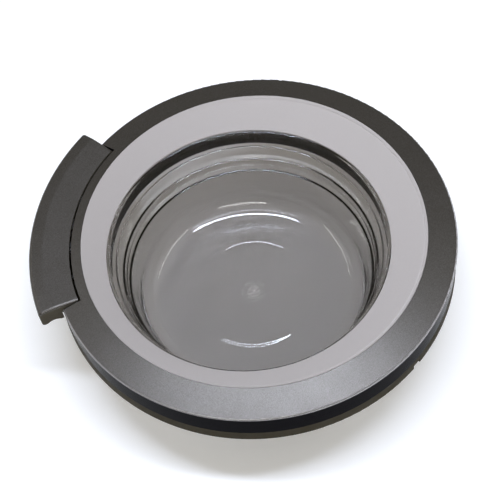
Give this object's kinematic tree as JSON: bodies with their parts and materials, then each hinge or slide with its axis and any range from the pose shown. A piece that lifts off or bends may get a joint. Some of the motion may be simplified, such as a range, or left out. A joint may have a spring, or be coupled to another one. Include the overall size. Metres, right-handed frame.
{
  "type": "washing machine door",
  "caption": "Round front-loader porthole door: graphite ring, silver conical trim, deep glass bowl, sprung pull handle with hook, and a hinge.",
  "frame": {"origin": "on the porthole axis, in the plane of the glass bowl's flat underside", "axes": "+Z out of the door's front along the porthole axis, +X towards the hinge, -X towards the handle"},
  "size_m": [0.4747, 0.4498, 0.141],
  "materials": {
    "graphite_paint": "graphite metallic lacquer on moulded plastic",
    "silver_trim": "pale silver satin lacquer on moulded plastic",
    "glass": "clear pressed glass",
    "dark_plastic": "matte moulded plastic",
    "black_plastic": "fine-grained black moulding",
    "zinc_steel": "zinc plated",
    "bright_steel": "ground steel",
    "spring_steel": "spring steel",
    "die_cast": "zinc die casting",
    "bush_plastic": "natural nylon"
  },
  "bodies": {
    "door": {"front_frame": "graphite_paint", "trim_ring": "silver_trim", "glass_bowl": "glass", "rear_frame": "dark_plastic", "frame_screws": "zinc_steel", "handle_pin": "bright_steel", "pin_clips": "spring_steel", "latch_bracket": "zinc_steel", "latch_bracket_screws": "zinc_steel", "spring_left": "spring_steel", "spring_right": "spring_steel", "hinge_leaf": "zinc_steel", "hinge_backing_plate": "zinc_steel", "hinge_screws": "zinc_steel", "hinge_pin": "bright_steel", "hinge_pin_clips": "spring_steel"},
    "handle": {"handle_cover": "graphite_paint", "handle_lever": "black_plastic"},
    "hook": {"latch_hook": "die_cast"},
    "machine_bracket": {"hinge_bracket": "die_cast", "hinge_bush_upper": "bush_plastic", "hinge_bush_lower": "bush_plastic"}
  },
  "joints": [
    {"name": "handle_pull", "type": "hinge", "parent": "door", "child": "handle", "pos_m": [-0.1919, 0, 0.129], "axis": [0, 1, 0], "range_deg": [0, 12], "stiffness_Nm_per_rad": 1.5, "springref_deg": -8.59, "deforming": ["spring_left", "spring_right"]},
    {"name": "hook_swing", "type": "hinge", "parent": "door", "child": "hook", "pos_m": [-0.1919, 0, 0.129], "axis": [0, 1, 0], "range_deg": [0, 12], "stiffness_Nm_per_rad": 0.5, "springref_deg": -8.59},
    {"name": "door_hinge", "type": "hinge", "parent": "door", "child": "machine_bracket", "pos_m": [0.2201, 0, 0.078], "axis": [0, -1, 0], "range_deg": [0, 170]}
  ],
  "couplings": [
    {"joint": "hook_swing", "follows": "handle_pull", "ratio": 1}
  ]
}
